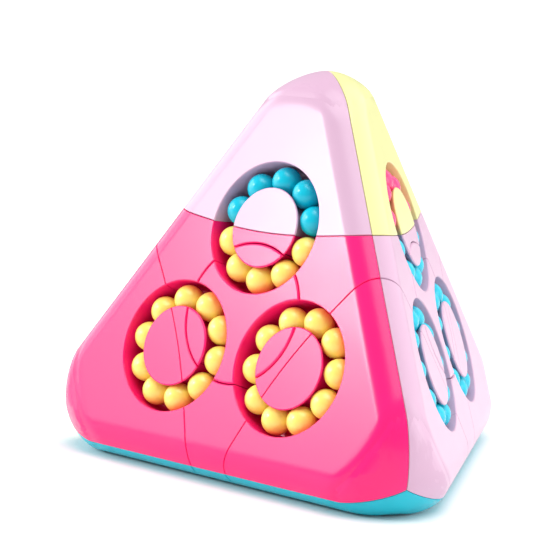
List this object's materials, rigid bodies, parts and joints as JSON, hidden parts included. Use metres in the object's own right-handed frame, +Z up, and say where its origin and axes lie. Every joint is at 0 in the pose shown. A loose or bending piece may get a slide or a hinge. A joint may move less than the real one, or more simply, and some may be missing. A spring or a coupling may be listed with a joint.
{
  "type": "pyramid twisty puzzle",
  "caption": "Rounded tetrahedral twisty puzzle with turning corner caps and rings of loose beads that slide in round tracks on every face.",
  "frame": {"origin": "middle of the flat base face, on the surface that the puzzle stands on", "axes": "+Z up towards the top corner, -Y towards the front face, +X to the right of the front face"},
  "size_m": [0.1086, 0.0983, 0.0925],
  "materials": {
    "skeleton_plastic": "moulded, satin",
    "pink_plastic": "gloss",
    "blush_plastic": "gloss",
    "yellow_plastic": "gloss",
    "cyan_plastic": "gloss",
    "bead_yellow": "high gloss",
    "bead_cyan": "high gloss",
    "bead_pink": "high gloss",
    "bead_blush": "high gloss",
    "steel": "zinc plated"
  },
  "bodies": {
    "root": {"core": "skeleton_plastic", "front_frame": "pink_plastic", "front_plug": "pink_plastic", "rightside_frame": "blush_plastic", "rightside_plug": "blush_plastic", "leftside_frame": "yellow_plastic", "leftside_plug": "yellow_plastic", "base_frame": "cyan_plastic", "base_plug": "cyan_plastic", "top_cap_screw": "steel", "left_cap_screw": "steel", "right_cap_screw": "steel", "back_cap_screw": "steel"},
    "top_cap": {"top_cap_carrier": "skeleton_plastic", "top_cap_spring": "steel", "top_front_cap_shell": "blush_plastic", "top_rightside_cap_shell": "yellow_plastic", "top_leftside_cap_shell": "pink_plastic"},
    "top_front_cap_string": {"top_front_cap_beads": "bead_cyan"},
    "top_front_lower_string": {"top_front_lower_beads": "bead_yellow"},
    "top_rightside_cap_string": {"top_rightside_cap_beads": "bead_pink"},
    "top_rightside_lower_string": {"top_rightside_lower_beads": "bead_cyan"},
    "top_leftside_cap_string": {"top_leftside_cap_beads": "bead_yellow"},
    "top_leftside_lower_string": {"top_leftside_lower_beads": "bead_pink"},
    "left_cap": {"left_cap_carrier": "skeleton_plastic", "left_cap_spring": "steel", "left_front_cap_shell": "pink_plastic", "left_leftside_cap_shell": "yellow_plastic", "left_base_cap_shell": "cyan_plastic"},
    "left_front_cap_string": {"left_front_cap_beads": "bead_yellow"},
    "left_front_lower_string": {"left_front_lower_beads": "bead_yellow"},
    "left_leftside_cap_string": {"left_leftside_cap_beads": "bead_pink"},
    "left_leftside_lower_string": {"left_leftside_lower_beads": "bead_pink"},
    "left_base_cap_string": {"left_base_cap_beads": "bead_blush"},
    "left_base_lower_string": {"left_base_lower_beads": "bead_blush"},
    "right_cap": {"right_cap_carrier": "skeleton_plastic", "right_cap_spring": "steel", "right_front_cap_shell": "pink_plastic", "right_rightside_cap_shell": "blush_plastic", "right_base_cap_shell": "cyan_plastic"},
    "right_front_cap_string": {"right_front_cap_beads": "bead_yellow"},
    "right_front_lower_string": {"right_front_lower_beads": "bead_yellow"},
    "right_rightside_cap_string": {"right_rightside_cap_beads": "bead_cyan"},
    "right_rightside_lower_string": {"right_rightside_lower_beads": "bead_cyan"},
    "right_base_cap_string": {"right_base_cap_beads": "bead_blush"},
    "right_base_lower_string": {"right_base_lower_beads": "bead_blush"},
    "back_cap": {"back_cap_carrier": "skeleton_plastic", "back_cap_spring": "steel", "back_rightside_cap_shell": "blush_plastic", "back_leftside_cap_shell": "yellow_plastic", "back_base_cap_shell": "cyan_plastic"},
    "back_rightside_cap_string": {"back_rightside_cap_beads": "bead_cyan"},
    "back_rightside_lower_string": {"back_rightside_lower_beads": "bead_cyan"},
    "back_leftside_cap_string": {"back_leftside_cap_beads": "bead_pink"},
    "back_leftside_lower_string": {"back_leftside_lower_beads": "bead_pink"},
    "back_base_cap_string": {"back_base_cap_beads": "bead_blush"},
    "back_base_lower_string": {"back_base_lower_beads": "bead_blush"}
  },
  "joints": [
    {"name": "top_cap_turn", "type": "hinge", "parent": "root", "child": "top_cap", "pos_m": [0, 0, 0.0287], "axis": [0, 0, 1], "continuous": true},
    {"name": "top_front_ring_slide", "type": "hinge", "parent": "root", "child": "top_front_lower_string", "pos_m": [0, -0.0168, 0.05617], "axis": [0, -0.9428, 0.3333], "range_deg": [-360, 360]},
    {"name": "top_front_ring_slide_in_cap", "type": "hinge", "parent": "top_cap", "child": "top_front_cap_string", "pos_m": [0, -0.0168, 0.05617], "axis": [0, -0.9428, 0.3333], "range_deg": [-360, 360]},
    {"name": "top_rightside_ring_slide", "type": "hinge", "parent": "root", "child": "top_rightside_lower_string", "pos_m": [0.01455, 0.0084, 0.05617], "axis": [0.8165, 0.4714, 0.3333], "range_deg": [-360, 360]},
    {"name": "top_rightside_ring_slide_in_cap", "type": "hinge", "parent": "top_cap", "child": "top_rightside_cap_string", "pos_m": [0.01455, 0.0084, 0.05617], "axis": [0.8165, 0.4714, 0.3333], "range_deg": [-360, 360]},
    {"name": "top_leftside_ring_slide", "type": "hinge", "parent": "root", "child": "top_leftside_lower_string", "pos_m": [-0.01455, 0.0084, 0.05617], "axis": [-0.8165, 0.4714, 0.3333], "range_deg": [-360, 360]},
    {"name": "top_leftside_ring_slide_in_cap", "type": "hinge", "parent": "top_cap", "child": "top_leftside_cap_string", "pos_m": [-0.01455, 0.0084, 0.05617], "axis": [-0.8165, 0.4714, 0.3333], "range_deg": [-360, 360]},
    {"name": "left_cap_turn", "type": "hinge", "parent": "root", "child": "left_cap", "pos_m": [0, 0, 0.0287], "axis": [-0.8165, -0.4714, -0.3333], "continuous": true},
    {"name": "left_front_ring_slide", "type": "hinge", "parent": "root", "child": "left_front_lower_string", "pos_m": [-0.01758, -0.02695, 0.02746], "axis": [0, -0.9428, 0.3333], "range_deg": [-360, 360]},
    {"name": "left_front_ring_slide_in_cap", "type": "hinge", "parent": "left_cap", "child": "left_front_cap_string", "pos_m": [-0.01758, -0.02695, 0.02746], "axis": [0, -0.9428, 0.3333], "range_deg": [-360, 360]},
    {"name": "left_leftside_ring_slide", "type": "hinge", "parent": "root", "child": "left_leftside_lower_string", "pos_m": [-0.03213, -0.00175, 0.02746], "axis": [-0.8165, 0.4714, 0.3333], "range_deg": [-360, 360]},
    {"name": "left_leftside_ring_slide_in_cap", "type": "hinge", "parent": "left_cap", "child": "left_leftside_cap_string", "pos_m": [-0.03213, -0.00175, 0.02746], "axis": [-0.8165, 0.4714, 0.3333], "range_deg": [-360, 360]},
    {"name": "left_base_ring_slide", "type": "hinge", "parent": "root", "child": "left_base_lower_string", "pos_m": [-0.01758, -0.01015, 0.0037], "axis": [0, 0, -1], "range_deg": [-360, 360]},
    {"name": "left_base_ring_slide_in_cap", "type": "hinge", "parent": "left_cap", "child": "left_base_cap_string", "pos_m": [-0.01758, -0.01015, 0.0037], "axis": [0, 0, -1], "range_deg": [-360, 360]},
    {"name": "right_cap_turn", "type": "hinge", "parent": "root", "child": "right_cap", "pos_m": [0, 0, 0.0287], "axis": [0.8165, -0.4714, -0.3333], "continuous": true},
    {"name": "right_front_ring_slide", "type": "hinge", "parent": "root", "child": "right_front_lower_string", "pos_m": [0.01758, -0.02695, 0.02746], "axis": [0, -0.9428, 0.3333], "range_deg": [-360, 360]},
    {"name": "right_front_ring_slide_in_cap", "type": "hinge", "parent": "right_cap", "child": "right_front_cap_string", "pos_m": [0.01758, -0.02695, 0.02746], "axis": [0, -0.9428, 0.3333], "range_deg": [-360, 360]},
    {"name": "right_rightside_ring_slide", "type": "hinge", "parent": "root", "child": "right_rightside_lower_string", "pos_m": [0.03213, -0.00175, 0.02746], "axis": [0.8165, 0.4714, 0.3333], "range_deg": [-360, 360]},
    {"name": "right_rightside_ring_slide_in_cap", "type": "hinge", "parent": "right_cap", "child": "right_rightside_cap_string", "pos_m": [0.03213, -0.00175, 0.02746], "axis": [0.8165, 0.4714, 0.3333], "range_deg": [-360, 360]},
    {"name": "right_base_ring_slide", "type": "hinge", "parent": "root", "child": "right_base_lower_string", "pos_m": [0.01758, -0.01015, 0.0037], "axis": [0, 0, -1], "range_deg": [-360, 360]},
    {"name": "right_base_ring_slide_in_cap", "type": "hinge", "parent": "right_cap", "child": "right_base_cap_string", "pos_m": [0.01758, -0.01015, 0.0037], "axis": [0, 0, -1], "range_deg": [-360, 360]},
    {"name": "back_cap_turn", "type": "hinge", "parent": "root", "child": "back_cap", "pos_m": [0, 0, 0.0287], "axis": [0, 0.9428, -0.3333], "continuous": true},
    {"name": "back_rightside_ring_slide", "type": "hinge", "parent": "root", "child": "back_rightside_lower_string", "pos_m": [0.01455, 0.0287, 0.02746], "axis": [0.8165, 0.4714, 0.3333], "range_deg": [-360, 360]},
    {"name": "back_rightside_ring_slide_in_cap", "type": "hinge", "parent": "back_cap", "child": "back_rightside_cap_string", "pos_m": [0.01455, 0.0287, 0.02746], "axis": [0.8165, 0.4714, 0.3333], "range_deg": [-360, 360]},
    {"name": "back_leftside_ring_slide", "type": "hinge", "parent": "root", "child": "back_leftside_lower_string", "pos_m": [-0.01455, 0.0287, 0.02746], "axis": [-0.8165, 0.4714, 0.3333], "range_deg": [-360, 360]},
    {"name": "back_leftside_ring_slide_in_cap", "type": "hinge", "parent": "back_cap", "child": "back_leftside_cap_string", "pos_m": [-0.01455, 0.0287, 0.02746], "axis": [-0.8165, 0.4714, 0.3333], "range_deg": [-360, 360]},
    {"name": "back_base_ring_slide", "type": "hinge", "parent": "root", "child": "back_base_lower_string", "pos_m": [0, 0.0203, 0.0037], "axis": [0, 0, -1], "range_deg": [-360, 360]},
    {"name": "back_base_ring_slide_in_cap", "type": "hinge", "parent": "back_cap", "child": "back_base_cap_string", "pos_m": [0, 0.0203, 0.0037], "axis": [0, 0, -1], "range_deg": [-360, 360]}
  ],
  "couplings": [
    {"joint": "top_front_ring_slide_in_cap", "follows": "top_front_ring_slide", "ratio": 1},
    {"joint": "top_rightside_ring_slide_in_cap", "follows": "top_rightside_ring_slide", "ratio": 1},
    {"joint": "top_leftside_ring_slide_in_cap", "follows": "top_leftside_ring_slide", "ratio": 1},
    {"joint": "left_front_ring_slide_in_cap", "follows": "left_front_ring_slide", "ratio": 1},
    {"joint": "left_leftside_ring_slide_in_cap", "follows": "left_leftside_ring_slide", "ratio": 1},
    {"joint": "left_base_ring_slide_in_cap", "follows": "left_base_ring_slide", "ratio": 1},
    {"joint": "right_front_ring_slide_in_cap", "follows": "right_front_ring_slide", "ratio": 1},
    {"joint": "right_rightside_ring_slide_in_cap", "follows": "right_rightside_ring_slide", "ratio": 1},
    {"joint": "right_base_ring_slide_in_cap", "follows": "right_base_ring_slide", "ratio": 1},
    {"joint": "back_rightside_ring_slide_in_cap", "follows": "back_rightside_ring_slide", "ratio": 1},
    {"joint": "back_leftside_ring_slide_in_cap", "follows": "back_leftside_ring_slide", "ratio": 1},
    {"joint": "back_base_ring_slide_in_cap", "follows": "back_base_ring_slide", "ratio": 1}
  ]
}
